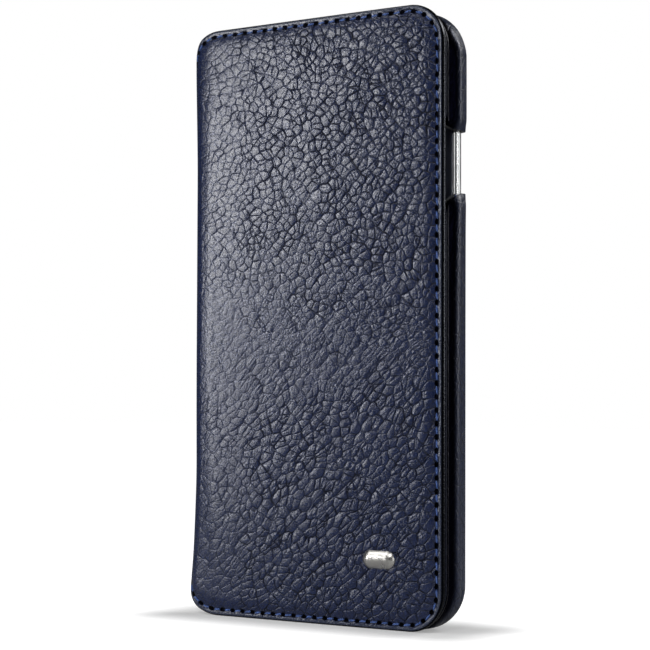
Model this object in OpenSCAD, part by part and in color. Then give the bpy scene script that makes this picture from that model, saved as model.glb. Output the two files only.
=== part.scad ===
// Phone wallet case: a moulded leather holder for a slim device, with a book-style
// leather flap that carries a bill pocket and three card pockets inside.
// It stands upright: X runs to the right, Y to the back, Z up. Lengths are in mm.
// Depths named d_... are measured from the front face of the flap towards the back.

/* [Bay] */
// width of the device bay
bay_w = 78.4; // [64:0.1:84]
// height of the device bay
bay_h = 158.8; // [130:0.1:170]
// depth of the device bay, from the rim frame to the lining
bay_t = 7.3; // [6.8:0.1:10]
// corner radius of the bay, seen from the front
bay_r = 9.6; // [8.5:0.1:12]

/* [Holder] */
// thickness of the moulded shell
shell_t = 1.2; // [1:0.05:1.6]
// thickness of the leather moulded over the shell
skin_t = 1.2; // [1:0.05:1.6]
// thickness of the microfibre lining on the floor of the bay
felt_t = 0.4; // [0.3:0.05:0.8]
// outer radius of the edge between side walls and back
back_r = 4.5; // [4:0.1:5]
// how far the wall leans in below the rim
lip_in = 1.4; // [0.8:0.05:1.8]
// depth over which the wall leans in
lip_len = 3.2; // [2.4:0.1:3.4]
// thickness of the skin's front flange
flange_t = 0.85; // [0.7:0.05:1.2]
// how far flange and rim frame stand out past the top of the wall
flange_out = 0.6; // [0.2:0.05:1]
// how far flange and rim frame stand back from the right side of the wall
flange_side = 0.9; // [0.5:0.05:1.2]
// how far flange and rim frame stand back beside the spine
rim_left_in = 0.7; // [0.6:0.05:1]
// thickness of the leather rim frame
rim_t = 0.9; // [0.8:0.05:1.3]
// margin of the lining from the rounded edge of the bay's floor
felt_edge = 0.3; // [0.2:0.05:1]
// glue line between laminated pieces
glue = 0.05; // [0.03:0.01:0.08]

/* [Openings of the holder] */
// distance of the side key cut-out from the top of the bay
key_top = 29.7; // [24:0.1:34]
// length of the side key cut-out
key_len = 16.5; // [12:0.5:18]
// radius that rounds the lower end of the cut-out into the rim
key_flare_low = 8.5; // [6:0.5:9]
// radius that rounds the upper end of the cut-out into the rim
key_flare_high = 5.5; // [4:0.5:8]
// depth of the shell's sill in the cut-out
sill_d = 8.6; // [7.5:0.1:9.5]
// distance of the slot behind the spine from the top of the bay
volume_top = 23.2; // [18:0.1:30]
// length of the slot behind the spine
volume_len = 34; // [16:0.5:40]
// length of the connector slot in the bottom wall
port_w = 45; // [20:0.5:50]
// width of both wall slots, across the wall
slot_t = 5; // [4.4:0.1:5.4]
// length of the camera window
camera_w = 21; // [14:0.5:26]
// height of the camera window
camera_h = 12; // [9:0.5:14]
// distance of the camera window's centre from the right side of the bay
camera_side = 18.5; // [16:0.5:26]
// distance of the camera window's centre from the top of the bay
camera_top = 12; // [10.5:0.5:20]
// how far the leather stands back around the camera window
camera_step = 0.6; // [0.3:0.1:1]

/* [Flap] */
// thickness of the grained leather
leather_t = 1.1; // [0.9:0.05:1.4]
// how deep the stitched border is pressed
press = 0.5; // [0.2:0.05:0.6]
// thickness of the stiffening board
board_t = 0.6; // [0.5:0.05:0.8]
// distance of the board from the edge of the flap
board_in = 4; // [3.2:0.1:8]
// distance of the board from the roll of the spine
board_left = 1.5; // [1:0.1:4]
// thickness of the leather lining
lining_t = 0.6; // [0.4:0.05:0.8]
// distance of the lining from the edge of the flap
lining_in = 0.35; // [0.2:0.05:0.8]
// radius of the soft roll at both edges of the spine
roll_r = 5; // [4:0.1:5.5]
// corner radius of the flap
corner_r = 10.5; // [8:0.5:14]
// how far the flap stands out past the rim, right and top
flap_out = 0.4; // [0.1:0.05:1]
// clearance between pieces that move against each other
fold_gap = 0.3; // [0.3:0.05:0.5]
// width of the leather tab bonded to the back
tab_w = 14; // [10:0.5:20]
// corner radius of the tab
tab_r = 4; // [2:0.5:6]

/* [Pockets] */
// thickness of the bill pocket
bill_t = 0.5; // [0.4:0.05:0.6]
// thickness of one card pocket
card_t = 0.4; // [0.3:0.05:0.45]
// height of the card pockets
card_h = 93; // [88:0.5:110]
// corner radius of the card pockets
card_r = 3; // [1:0.5:6]
// step from one pocket mouth to the next
card_step = 10; // [7:0.5:12]
// distance of the bill pocket's mouth from the spine
bill_mouth = 10; // [8:0.5:14]
// radius of the thumb notches
thumb_r = 12; // [8:0.5:16]
// depth of the thumb notches
thumb_d = 3.4; // [2:0.1:5]
// margin between pockets and rim opening
pocket_in = 1; // [0.8:0.1:3]

/* [Trim] */
// length of the metal badge
badge_w = 10; // [8:0.5:14]
// height of the metal badge
badge_h = 4.8; // [4:0.1:6]
// how far the badge stands out
badge_rise = 1.1; // [0.8:0.05:1.6]
// distance of the badge from the right edge of the flap
badge_side = 19.5; // [16:0.5:30]
// height of the badge above the bottom edge
badge_z = 18.4; // [14:0.1:40]
// radius of the badge's prongs
prong_r = 0.45; // [0.4:0.05:0.6]
// thickness of the clip plate behind the badge
clip_t = 0.3; // [0.25:0.05:0.35]
// room around the clip plate in the board
clip_room = 1; // [0.5:0.1:2]
// width of a closing magnet
magnet_w = 3.6; // [2.6:0.1:4]
// distance of a closing magnet from the edge of the board
magnet_in = 1.2; // [1:0.1:3]
// length of a closing magnet and its keeper
magnet_len = 20; // [12:0.5:26]
// how far the lower magnet sits below the middle of the bay
magnet_down = 38; // [24:0.5:42]
// how far the upper magnet sits above the middle of the bay
magnet_up = 2; // [0:0.5:6]
// thickness of a steel keeper
keeper_t = 0.4; // [0.3:0.05:0.5]
// width of a steel keeper
keeper_w = 1.8; // [1.2:0.1:1.8]

/* [Hidden] */
$fn = 64;
corner_n = 9;
eps = 0.01;
over = 3;
hole_gap = 0.1;

// depth of each layer
d_board = leather_t;
d_lining = d_board + board_t;
d_bill = d_lining + lining_t;
d_card = d_bill + bill_t;
d_rim = d_bill + fold_gap;
d_flange = d_rim + rim_t + glue;
d_wall = d_flange + flange_t;
d_face = d_card + 3 * card_t + fold_gap;
d_felt = d_face + bay_t;
d_floor = d_felt + felt_t;
depth = d_floor + shell_t + skin_t;
d_back = depth - back_r;
y_front = -(depth - badge_rise) / 2;

// outline of the holder's walls
wall_in = skin_t + shell_t;
felt_in = back_r + felt_edge;
wall_w = bay_w + 2 * wall_in;
wall_h = bay_h + 2 * wall_in;
wall_r = bay_r + wall_in;
spine_t = leather_t + glue + lining_t;
flap_w = spine_t + fold_gap + wall_w - flange_side + flap_out;
width = spine_t + fold_gap + wall_w + max(0, flap_out - flange_side);
height = wall_h + flange_out + flap_out;
x_left = -width / 2;
x_right = x_left + flap_w;
wx0 = x_left + spine_t + fold_gap;
wx1 = wx0 + wall_w;
bay_x = (wx0 + wx1) / 2;
bay_z = wall_h / 2;
bay_top = wall_h - wall_in;
key_z1 = bay_top - key_top;
key_z0 = key_z1 - key_len;
volume_z = bay_top - volume_top - volume_len / 2;
magnet_low = bay_z - magnet_down;
magnet_high = bay_z + magnet_up;

// opening inside the rim
rim_in = lip_in + wall_in;
rim_x0 = wx0 + rim_in;
rim_x1 = wx1 - rim_in;
rim_z0 = rim_in;
rim_z1 = wall_h - rim_in;
rim_r = wall_r - rim_in;

// the flap's developed length, from its free edge round the spine to the end of the tab
s_roll = flap_w - roll_r;
s_spine = s_roll + roll_r * PI / 2;
s_back = s_spine + depth - 2 * roll_r;
s_tab = s_back + roll_r * PI / 2;
s_end = s_tab + tab_w;
s_fold_1 = s_roll + roll_r * PI / 4;
s_fold_2 = s_back + roll_r * PI / 4;
spine_z0 = corner_r;
spine_z1 = height - corner_r;

badge_x = x_right - badge_side;
prong_x = badge_w / 2 - badge_h / 2;
magnet_x = x_right - board_in - magnet_in - magnet_w / 2;
keeper_x = (rim_x1 + wx1 - flange_side) / 2;
pocket_x1 = rim_x1 - pocket_in;
bill_x0 = x_left + roll_r + bill_mouth;

// x, depth and bend angle of the flap's outer face at a developed length s
function along(s) =
    s <= s_roll ? [x_right - s, 0, 0]
    : s <= s_spine ? rolled(x_left + roll_r, roll_r, (s - s_roll) / roll_r * 180 / PI)
    : s <= s_back ? [x_left, roll_r + s - s_spine, 90]
    : s <= s_tab ? rolled(x_left + roll_r, depth - roll_r, 90 + (s - s_back) / roll_r * 180 / PI)
    : [x_left + roll_r + s - s_tab, depth, 180];
function rolled(x, d, a) = [x - roll_r * sin(a), d - roll_r * cos(a), a];

// point of the flap at developed length s, offset o below its outer face, height z
function flap_point(s, o, z) =
    let (p = along(s)) [p[0] + o * sin(p[2]), y_front + p[1] + o * cos(p[2]), z];

// distance from the flap's free edge, seen from the front
function front_run(s) = x_right - along(min(s, s_spine))[0];
function corner_run(s) = let (f = front_run(s)) max(corner_r - f, f - flap_w + corner_r);

// how far a corner has cut into the flap's height at length s
function corner_drop(u) = corner_r - sqrt(max(0, corner_r * corner_r - u * u));
function drop_at(s) =
    s <= s_spine ? corner_drop(max(0, corner_run(s)))
    : s < s_end - tab_r ? corner_r
    : corner_r + tab_r - sqrt(max(0, tab_r * tab_r - pow(s - s_end + tab_r, 2)));

// distance of a point of the flap from the flap's edge
function edge_in(s, z) =
    let (u = corner_run(s), q = max(z, height - z) - height + corner_r)
    s > s_spine ? -q
    : u > 0 && q > 0 ? corner_r - norm([u, q])
    : min(front_run(s), corner_r - q);

// sunken border and rounded rim of the leather, over the distance from its edge
border = [[0, press + 0.32], [0.25, press + 0.1], [0.6, press], [2.3, press],
          [3.4, press * 0.55], [5, press * 0.14], [7, 0]];
insets = [0, 0.25, 0.6, 1.4, 2.3, 3.4, 5, 7, 12];
free_edge = [0, 0.06, 0.25, 0.6, 1.1, 1.7, 2.3, 3.4, 5, 7];

// stations from length a to length b, at most st apart
function spread(a, b, st) = let (n = max(1, ceil((b - a) / st))) [for (i = [0:n]) a + (b - a) * i / n];

// the flap as a bent sheet: rows of points at the stations, outer face o0, inner face o1
module bent_sheet(stations, o0, o1, pressed) {
    m = len(insets);
    rows = [for (s = stations)
        let (zt = height - drop_at(s), zb = drop_at(s),
             zs = [for (k = insets) zb + k, for (i = [m - 1:-1:0]) zt - insets[i]])
        concat(
            [for (z = zs) flap_point(s, o1, z)],
            [for (i = [2 * m - 1:-1:0])
                flap_point(s, o0 + (pressed ? lookup(max(0, edge_in(s, zs[i])), border) : 0), zs[i])])];
    loop_solid(rows);
}

// solid through a list of equal point loops, closed by its first and last loop
module loop_solid(rows) {
    n = len(rows[0]);
    last = len(rows) - 1;
    sides = [for (k = [0:last - 1], i = [0:n - 1])
        let (a = k * n + i, b = k * n + (i + 1) % n)
        each [[a, b, b + n], [a, b + n, a + n]]];
    ends = [for (i = [0:n / 2 - 2])
        let (a = [i, i + 1, n - 2 - i, n - 1 - i])
        each [[a[2], a[1], a[0]], [a[3], a[2], a[0]],
              [for (j = [0, 1, 2]) last * n + a[j]], [for (j = [0, 2, 3]) last * n + a[j]]]];
    polyhedron(points = [for (r = rows) each r], faces = concat(sides, ends), convexity = 10);
}

// inset and depth of the holder's wall, o below its outer face; it starts lead below the flange
lip_r = (lip_in * lip_in + lip_len * lip_len) / (2 * lip_in);
lip_a = asin(lip_len / lip_r);
function wall_line(o, lead) = concat(
    [for (i = [0:4]) let (a = lip_a * (1 - i / 5))
        [lip_r * (1 - cos(a)) + o, d_wall + lip_len - lip_r * sin(a) + (i == 0 ? lead : 0)]],
    [[o, d_wall + lip_len]],
    [for (i = [0:7]) let (a = 90 * i / 7)
        [back_r - (back_r - o) * cos(a), d_back + (back_r - o) * sin(a)]]);

// rounded rectangle of the wall, drawn in by inset
function wall_ring(inset, d) =
    [for (c = [[1, 1, 0], [-1, 1, 90], [-1, -1, 180], [1, -1, 270]], i = [0:corner_n])
        let (a = c[2] + 90 * i / corner_n, r = wall_r - inset)
        [bay_x + c[0] * (wall_w / 2 - wall_r) + r * cos(a), y_front + d,
         bay_z + c[1] * (wall_h / 2 - wall_r) + r * sin(a)]];

module tray(o, lead) {
    loop_solid([for (p = wall_line(o, lead)) wall_ring(p[0], p[1])]);
}

// flat outlines, drawn in X and Z
module rounded(x0, x1, z0, z1, r) {
    translate([x0 + r, z0]) square([x1 - x0 - 2 * r, z1 - z0]);
    translate([x0, z0 + r]) square([x1 - x0, z1 - z0 - 2 * r]);
    for (x = [x0 + r, x1 - r], z = [z0 + r, z1 - r]) translate([x, z]) circle(r);
}

module stadium(w, h) {
    square([w - h, h], center = true);
    for (x = [-1, 1]) translate([x * (w - h) / 2, 0]) circle(h / 2);
}

module rim_opening() {
    rounded(rim_x0, rim_x1, rim_z0, rim_z1, rim_r);
}

module rim_outline() {
    rounded(wx0 + rim_left_in, wx1 - flange_side, 0, wall_h + flange_out, wall_r - flange_out);
}

// a flat outline raised between two depths
module slab(d0, d1) {
    translate([0, y_front + d1, 0]) rotate([90, 0, 0]) linear_extrude(d1 - d0) children();
}

// side key cut-out: drawn along the wall and across it, rounded into the rim at both ends
module key_shape(d_end) {
    translate([key_z0, d_rim - over]) square([key_z1 - key_z0, d_end - d_rim + over]);
    difference() {
        translate([key_z0 - key_flare_low, d_rim - over])
            square([key_flare_low + eps, key_flare_low + over]);
        translate([key_z0 - key_flare_low, d_rim + key_flare_low]) circle(key_flare_low);
    }
    difference() {
        translate([key_z1 - eps, d_rim - over])
            square([key_flare_high + eps, key_flare_high + over]);
        translate([key_z1 + key_flare_high, d_rim + key_flare_high]) circle(key_flare_high);
    }
}

module key_cut(d_end) {
    translate([wx1 + over, y_front, 0]) rotate([0, -90, 0])
        linear_extrude(back_r + over + 1) key_shape(d_end);
}

// slots through the wall behind the spine and through the bottom wall
d_slot = (d_wall + d_floor) / 2;
module volume_cut() {
    translate([rim_x0 + 1, y_front + d_slot, volume_z]) rotate([0, -90, 0])
        linear_extrude(rim_in + over) stadium(volume_len, slot_t);
}

module port_cut() {
    translate([bay_x, y_front + d_slot, -over])
        linear_extrude(rim_in + over + 1) stadium(port_w, slot_t);
}

module camera_shape(grow) {
    translate([wx1 - wall_in - camera_side, bay_top - camera_top])
        stadium(camera_w + 2 * grow, camera_h + 2 * grow);
}

// bed of the tab in the back of the skin
module tab_bed() {
    slab(d_back, depth + over) rounded(x_left - 2 * tab_r, x_left + roll_r + tab_w + hole_gap,
                                       spine_z0 - hole_gap, spine_z1 + hole_gap, tab_r);
}

module holder_shell() {
    color([0.86, 0.88, 0.9, 0.5]) difference() {
        tray(skin_t + glue, glue);
        tray(wall_in, -over);
        key_cut(sill_d);
        volume_cut();
        port_cut();
        slab(d_felt, depth + over) camera_shape(0);
    }
}

module holder_skin() {
    color([0.1, 0.11, 0.16]) difference() {
        union() {
            tray(0, -flange_t / 2);
            slab(d_flange, d_wall) rim_outline();
        }
        tray(skin_t, 0);
        slab(d_flange - over, d_wall + over) rim_opening();
        key_cut(depth + over);
        volume_cut();
        port_cut();
        slab(d_felt, depth + over) camera_shape(camera_step);
        tab_bed();
    }
}

module holder_lining() {
    color([0.2, 0.22, 0.27]) slab(d_felt, d_floor) difference() {
        rounded(wx0 + felt_in, wx1 - felt_in, felt_in, wall_h - felt_in, wall_r - felt_in);
        camera_shape(camera_step);
    }
}

module rim_frame() {
    color([0.13, 0.14, 0.2]) difference() {
        slab(d_rim, d_rim + rim_t) difference() {
            rim_outline();
            rim_opening();
        }
        key_cut(depth);
        keeper(magnet_low, hole_gap);
        keeper(magnet_high, hole_gap);
    }
}

// steel keepers lie in beds in the back of the rim frame
module keeper(z, grow) {
    translate([keeper_x - keeper_w / 2 - grow, y_front + d_rim + rim_t - keeper_t - grow / 2,
               z - magnet_len / 2 - grow])
        cube([keeper_w + 2 * grow, keeper_t + grow / 2, magnet_len + 2 * grow]);
}

module keeper_lower() {
    color([0.6, 0.61, 0.63]) keeper(magnet_low, 0);
}

module keeper_upper() {
    color([0.6, 0.61, 0.63]) keeper(magnet_high, 0);
}

module hinge_tab() {
    color([0.12, 0.13, 0.19]) bent_sheet(
        concat(spread(s_fold_2 + fold_gap / 2, s_tab, 0.8), [s_tab + 4, s_end - tab_r],
               [for (a = [15:15:75]) s_end - tab_r + tab_r * sin(a)], [s_end - 0.05]),
        0, leather_t, false);
}

module spine_leather() {
    color([0.12, 0.13, 0.19]) bent_sheet(
        concat(spread(s_fold_1 + fold_gap / 2, s_spine, 0.6), [s_spine + 1, s_back - 1],
               spread(s_back, s_fold_2 - fold_gap / 2, 0.8)),
        0, leather_t, false);
}

module spine_lining() {
    color([0.16, 0.17, 0.23]) bent_sheet(
        concat(spread(s_fold_1 + 1, s_spine, 0.6), [s_back]),
        leather_t + glue, spine_t, false);
}

module cover_leather() {
    color([0.12, 0.13, 0.19]) difference() {
        union() {
            intersection() {
                bent_sheet(concat(free_edge, spread(corner_r + 1, flap_w - corner_r, 12),
                                  spread(flap_w - corner_r + 1, s_roll, 1.5)),
                           0, d_lining, true);
                slab(-over, d_lining + over) translate([x_left + roll_r, -over])
                    square([flap_w, height + 2 * over]);
            }
            bent_sheet(concat([s_roll - 1], spread(s_roll, s_fold_1 - fold_gap / 2, 0.6)),
                       0, leather_t, true);
        }
        slab(d_board, d_lining + over) board_outline(hole_gap);
        prongs(hole_gap, d_lining);
    }
}

module board_outline(grow) {
    b = board_in - grow;
    rounded(x_left + roll_r + board_left - grow, x_right - b, b, height - b, corner_r - board_in);
}

module cover_board() {
    color([0.55, 0.5, 0.42]) slab(d_board, d_lining) difference() {
        board_outline(0);
        for (z = [magnet_low, magnet_high]) magnet_shape(z, hole_gap);
        badge_place() stadium(badge_w + 2 * clip_room, badge_h + 2 * clip_room);
    }
}

module magnet_shape(z, grow) {
    translate([magnet_x, z])
        square([magnet_w + 2 * grow, magnet_len + 2 * grow], center = true);
}

module magnet_lower() {
    color([0.6, 0.61, 0.63]) slab(d_board, d_lining) magnet_shape(magnet_low, 0);
}

module magnet_upper() {
    color([0.6, 0.61, 0.63]) slab(d_board, d_lining) magnet_shape(magnet_high, 0);
}

module cover_lining() {
    color([0.16, 0.17, 0.23]) slab(d_lining, d_bill) intersection() {
        rounded(x_left, x_right - lining_in, lining_in, height - lining_in, corner_r - lining_in);
        translate([x_left + roll_r, 0]) square([flap_w, height]);
    }
}

// a pocket sheet with its mouth on the spine side and a thumb notch in the mouth
module pocket(x0, z0, z1, r) {
    difference() {
        intersection() {
            rounded(x0 - 2 * r, pocket_x1, z0, z1, r);
            translate([x0, z0]) square([pocket_x1 - x0, z1 - z0]);
        }
        translate([x0 - thumb_r + thumb_d, (z0 + z1) / 2]) circle(thumb_r);
    }
}

module bill_pocket() {
    color([0.15, 0.16, 0.22]) slab(d_bill, d_card)
        pocket(bill_x0, rim_z0 + pocket_in, rim_z1 - pocket_in, rim_r - pocket_in);
}

module card_pocket(i) {
    color([0.17, 0.18, 0.25]) slab(d_card + (i - 1) * card_t, d_card + i * card_t)
        pocket(bill_x0 + i * card_step, bay_z - card_h / 2, bay_z + card_h / 2, card_r);
}

module card_pocket_1() {
    card_pocket(1);
}

module card_pocket_2() {
    card_pocket(2);
}

module card_pocket_3() {
    card_pocket(3);
}

module badge_place() {
    translate([badge_x, badge_z]) children();
}

module prongs(grow, d_end) {
    slab(-eps, d_end) badge_place() for (x = [-1, 1]) translate([x * prong_x, 0]) circle(prong_r + grow);
}

// domed bar: an arched section drawn out between two turned ends
dome_r = (badge_h * badge_h / 4 + badge_rise * badge_rise) / (2 * badge_rise);
module dome_half() {
    intersection() {
        translate([0, badge_rise - dome_r]) circle(dome_r);
        square([badge_h / 2, badge_rise]);
    }
}

module badge() {
    color([0.86, 0.87, 0.88]) {
        translate([badge_x, y_front, badge_z]) rotate([90, 0, 0]) {
            for (x = [-1, 1]) translate([x * prong_x, 0, 0]) rotate_extrude() dome_half();
            translate([-prong_x, 0, 0]) rotate([90, 0, 90]) linear_extrude(2 * prong_x) {
                dome_half();
                mirror([1, 0]) dome_half();
            }
        }
        prongs(0, d_lining - hole_gap);
    }
}

module badge_clip() {
    color([0.6, 0.61, 0.63]) slab(d_board, d_board + clip_t) badge_place() difference() {
        stadium(badge_w, badge_h);
        for (x = [-1, 1]) translate([x * prong_x, 0]) circle(prong_r + hole_gap);
    }
}

holder_shell();
holder_skin();
holder_lining();
rim_frame();
keeper_lower();
keeper_upper();
hinge_tab();
spine_leather();
spine_lining();
cover_leather();
cover_board();
magnet_lower();
magnet_upper();
cover_lining();
bill_pocket();
card_pocket_1();
card_pocket_2();
card_pocket_3();
badge();
badge_clip();
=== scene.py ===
import math

import bmesh
import bpy
from mathutils import Matrix, Quaternion, Vector


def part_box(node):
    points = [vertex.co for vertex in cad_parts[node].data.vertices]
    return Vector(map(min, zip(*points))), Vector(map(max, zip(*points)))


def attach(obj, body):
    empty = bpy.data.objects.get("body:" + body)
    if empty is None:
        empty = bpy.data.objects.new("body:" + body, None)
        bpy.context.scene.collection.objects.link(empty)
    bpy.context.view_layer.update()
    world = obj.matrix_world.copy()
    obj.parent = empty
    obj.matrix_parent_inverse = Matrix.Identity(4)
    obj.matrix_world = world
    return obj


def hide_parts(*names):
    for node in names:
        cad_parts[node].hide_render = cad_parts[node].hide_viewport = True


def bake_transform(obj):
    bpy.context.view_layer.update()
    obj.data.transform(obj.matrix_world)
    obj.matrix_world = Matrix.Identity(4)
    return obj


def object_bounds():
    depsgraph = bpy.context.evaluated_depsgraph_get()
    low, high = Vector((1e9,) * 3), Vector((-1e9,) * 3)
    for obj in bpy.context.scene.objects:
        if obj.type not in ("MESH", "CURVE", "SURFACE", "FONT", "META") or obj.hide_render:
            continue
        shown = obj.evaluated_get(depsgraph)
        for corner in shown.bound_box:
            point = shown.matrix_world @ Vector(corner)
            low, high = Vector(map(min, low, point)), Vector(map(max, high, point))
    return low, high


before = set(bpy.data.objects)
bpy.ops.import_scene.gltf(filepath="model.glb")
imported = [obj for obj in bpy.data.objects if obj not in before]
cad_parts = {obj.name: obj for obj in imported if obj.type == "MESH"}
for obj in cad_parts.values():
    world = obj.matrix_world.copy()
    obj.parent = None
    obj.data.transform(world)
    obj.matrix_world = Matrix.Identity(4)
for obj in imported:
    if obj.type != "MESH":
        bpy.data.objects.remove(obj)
cad_low, cad_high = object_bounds()

# Lengths are in millimetres, and a mesh is scaled to metres once it is done.
# Depths d run from the front face of the flap towards the back.
MM = 0.001


def box_mm(node):
    """Low and high corner of a node's box in millimetres."""
    low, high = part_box(node)
    return low / MM, high / MM


# Sizes of the flap, one sheet of grained leather from its free edge round the spine to the end of the tab
leather_low, leather_high = box_mm("cover_leather")
X_LEFT, X_RIGHT = box_mm("spine_leather")[0].x, leather_high.x
Y_FRONT, HEIGHT = leather_low.y, leather_high.z
FLAP_W = X_RIGHT - X_LEFT
DEPTH = box_mm("hinge_tab")[1].y - Y_FRONT
ROLL_R = 5.0
CORNER_R = 10.5
TAB_R, TAB_LEN = 4.0, 14.0
LEATHER_T, EDGE_R = 1.1, 0.7
LINING_T, LINING_IN, LINING_R = 0.6, 0.35, 0.3
D_LINING = 1.7

# Developed lengths of the flap, from its free edge
S_ROLL = FLAP_W - ROLL_R
S_SPINE = S_ROLL + ROLL_R * math.pi / 2
S_BACK = S_SPINE + DEPTH - 2 * ROLL_R
S_TAB = S_BACK + ROLL_R * math.pi / 2
S_END = S_TAB + TAB_LEN
S_MID = (S_SPINE + S_BACK) / 2

# Soft forms of the flap: its pressed border, the groove of the seam, and the roll, which has settled,
# swells at its lower corner and stands out sideways. A span says from where to where a form fades.
PRESS, PRESS_SPAN = 0.4, (1.4, 5.0)
TOP_EASE, TOP_EASE_Z, TOP_EASE_S = 0.6, (HEIGHT - 14, HEIGHT - 7), (8, 20)
GROOVE, GROOVE_W = 0.08, 0.75
FREE_GROOVE, FREE_SPAN = 0.12, (2, 8)
ROLL_SET, ROLL_LEAD = 0.75, 3.2
LOW_SET, LOW_LEAD, LOW_SPAN = 0.3, 3.5, (8, 75)
SWELL, SWELL_S, SWELL_Z = 0.7, 4.0, 8.0
SWELL_AT = (S_ROLL + 3.0, 5.0)
SLACK = 0.5
TOP_SLACK, TOP_SPAN = 0.7, (122, 160)
FOOT_SLACK, FOOT_SPAN = 1.35, (6, 44)

# Seam and thread. NO_SEAM stands for the run of the seam where the sheet has none.
STITCH_IN, STITCH_PITCH = 1.8, 3.5
HOLE_LEN, HOLE_W = 0.92, 0.6
THREAD_SHARE, THREAD_W, THREAD_H = 0.64, 0.60, 0.52
THREAD_SLANT = math.radians(7)
THREAD_SUNK, LINING_THREAD_SUNK = 0.04, 0.12
NO_SEAM = -5.0

# Sizes of the holder
skin_low, skin_high = box_mm("holder_skin")
WX0, WX1 = skin_low.x, skin_high.x
RIM_OUT, RIM_IN = 0.6, 3.8
WALL_H, WALL_R = skin_high.z - RIM_OUT, 12.0
BACK_R = 4.5
D_RIM, D_RIM_BACK = 2.6, 3.5
D_FLANGE, D_WALL = 3.55, 4.4
D_BACK = DEPTH - BACK_R
LIP_IN, LIP_LEN = 1.4, 3.2
LIP_R = (LIP_IN ** 2 + LIP_LEN ** 2) / (2 * LIP_IN)
LIP_A = math.asin(LIP_LEN / LIP_R)
SKIN_T, WALL_IN, GLUE = 1.2, 2.4, 0.05
FRONT_EDGE_R, FLANGE_EDGE_R, OPENING_EDGE_R = 0.3, 0.25, 0.2
FELT_IN, FELT_T, D_FELT = BACK_R + 0.3, 0.4, 11.6
# Share of a rounded edge at which its middle ring lies, and the felt's rings as inset and rise
FRONT_MIDDLE, FLANGE_MIDDLE = 0.30, 0.28
FELT_EDGE = ((0, FELT_T), (0, 0.18), (0.07, 0.05), (0.22, 0))
BAY_X, BAY_Z = (WX0 + WX1) / 2, WALL_H / 2

# Outlines as left, right, foot, top and corner radius
rim_low, rim_high = box_mm("rim_frame")
RIM_OUTLINE = (rim_low.x, rim_high.x, rim_low.z, rim_high.z, WALL_R - RIM_OUT)
RIM_OPENING = (WX0 + RIM_IN, WX1 - RIM_IN, RIM_IN, WALL_H - RIM_IN, WALL_R - RIM_IN)
WALL_OUTLINE = (WX0, WX1, 0.0, WALL_H, WALL_R)

# Openings of the holder, and how far their cutters reach
KEY_Z0, KEY_Z1 = 115.0, 131.5
KEY_LOW_R, KEY_HIGH_R = 8.5, 5.5
SILL_D = 8.6
D_THROUGH = DEPTH + 3.0
SLOT_H, D_SLOT = 5.0, 8.2
VOLUME_W, VOLUME_Z, VOLUME_REACH = 34.0, 121.0, (-46.0, -35.8)
PORT_W, PORT_REACH = 45.0, (-4.0, 4.8)
CAMERA_W, CAMERA_H, CAMERA_X, CAMERA_Z = 21.0, 12.0, 21.725, 149.2
CAMERA_REACH, CAMERA_EASE = (11.0, 18.0), 0.6
TAB_GAP, TAB_BED, TAB_REACH = 0.1, 0.02, 18.0

# Soft forms of the right wall: drawn in beside the side cut-out, swollen near it and bowed to the back
KEY_DRAW, KEY_DRAW_W = 0.95, 3.4
WALL_SWELL, SWELL_RISE, SWELL_FALL = 0.8, (70, 140), (150, 163)
WALL_BOW, BOW_FROM, BOW_TO = 0.4, 7.2, 9.9
OUTER_FACE = (WX1 - 1.1, WX1 - 0.1)

# Pockets, which lie on the lining
POCKET_X1 = box_mm("bill_pocket")[1].x
THUMB_R, THUMB_D = 12.0, 3.4
BILL_IN, BILL_T = RIM_IN + 1.0, 0.5
CARD_H, CARD_R, CARD_T = 93.0, 3.0, 0.4
D_BILL = D_LINING + LINING_T
D_CARDS = D_BILL + BILL_T
POCKET_EDGE_R = 0.22
POCKET_LINE, POCKET_LINE_IN, POCKET_LINE_W = 0.06, 1.3, 0.25

# Badge
BADGE_W, BADGE_H, BADGE_RISE = 10.0, 4.8, 1.1
BADGE_IN, BADGE_Z = 19.5, 18.4
DOME_R = (BADGE_H ** 2 / 4 + BADGE_RISE ** 2) / (2 * BADGE_RISE)


def smooth(x, low, high):
    """0 below low, 1 above high, and an even curve between."""
    t = min(1.0, max(0.0, (x - low) / (high - low)))
    return t * t * (3 - 2 * t)


def bell(x, width):
    """1 at 0, falling off evenly on both sides."""
    return math.exp(-(x / width) ** 2)


def corner_drop(u, r):
    """How far an arc of radius r has turned away at u from its start."""
    return r - math.sqrt(max(0.0, r * r - u * u))


def rounding(e, r):
    """How far a rounded edge of radius r has dropped at a distance e from the edge."""
    return corner_drop(max(0.0, r - e), r)


# The flap's pattern

def rolled(x, d, a):
    """x, depth and bend on a roll round x and d, at the angle a."""
    return x - ROLL_R * math.sin(a), d - ROLL_R * math.cos(a), a


def along(s):
    """x, depth and bend of the flap's outer face at the developed length s."""
    if s <= S_ROLL:
        return X_RIGHT - s, 0.0, 0.0
    if s <= S_SPINE:
        return rolled(X_LEFT + ROLL_R, ROLL_R, (s - S_ROLL) / ROLL_R)
    if s <= S_BACK:
        return X_LEFT, ROLL_R + s - S_SPINE, math.pi / 2
    if s <= S_TAB:
        return rolled(X_LEFT + ROLL_R, DEPTH - ROLL_R, math.pi / 2 + (s - S_BACK) / ROLL_R)
    return X_LEFT + ROLL_R + s - S_TAB, DEPTH, math.pi


def slack(s, z):
    """How far the soft roll stands out sideways: a little all along, and more at both ends."""
    reach = smooth(s, S_ROLL - 9, S_ROLL + 3) * (1 - smooth(s, S_SPINE + 0.5, S_BACK + 1))
    return reach * (SLACK + TOP_SLACK * smooth(z, *TOP_SPAN) + FOOT_SLACK * (1 - smooth(z, *FOOT_SPAN)))


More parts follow.
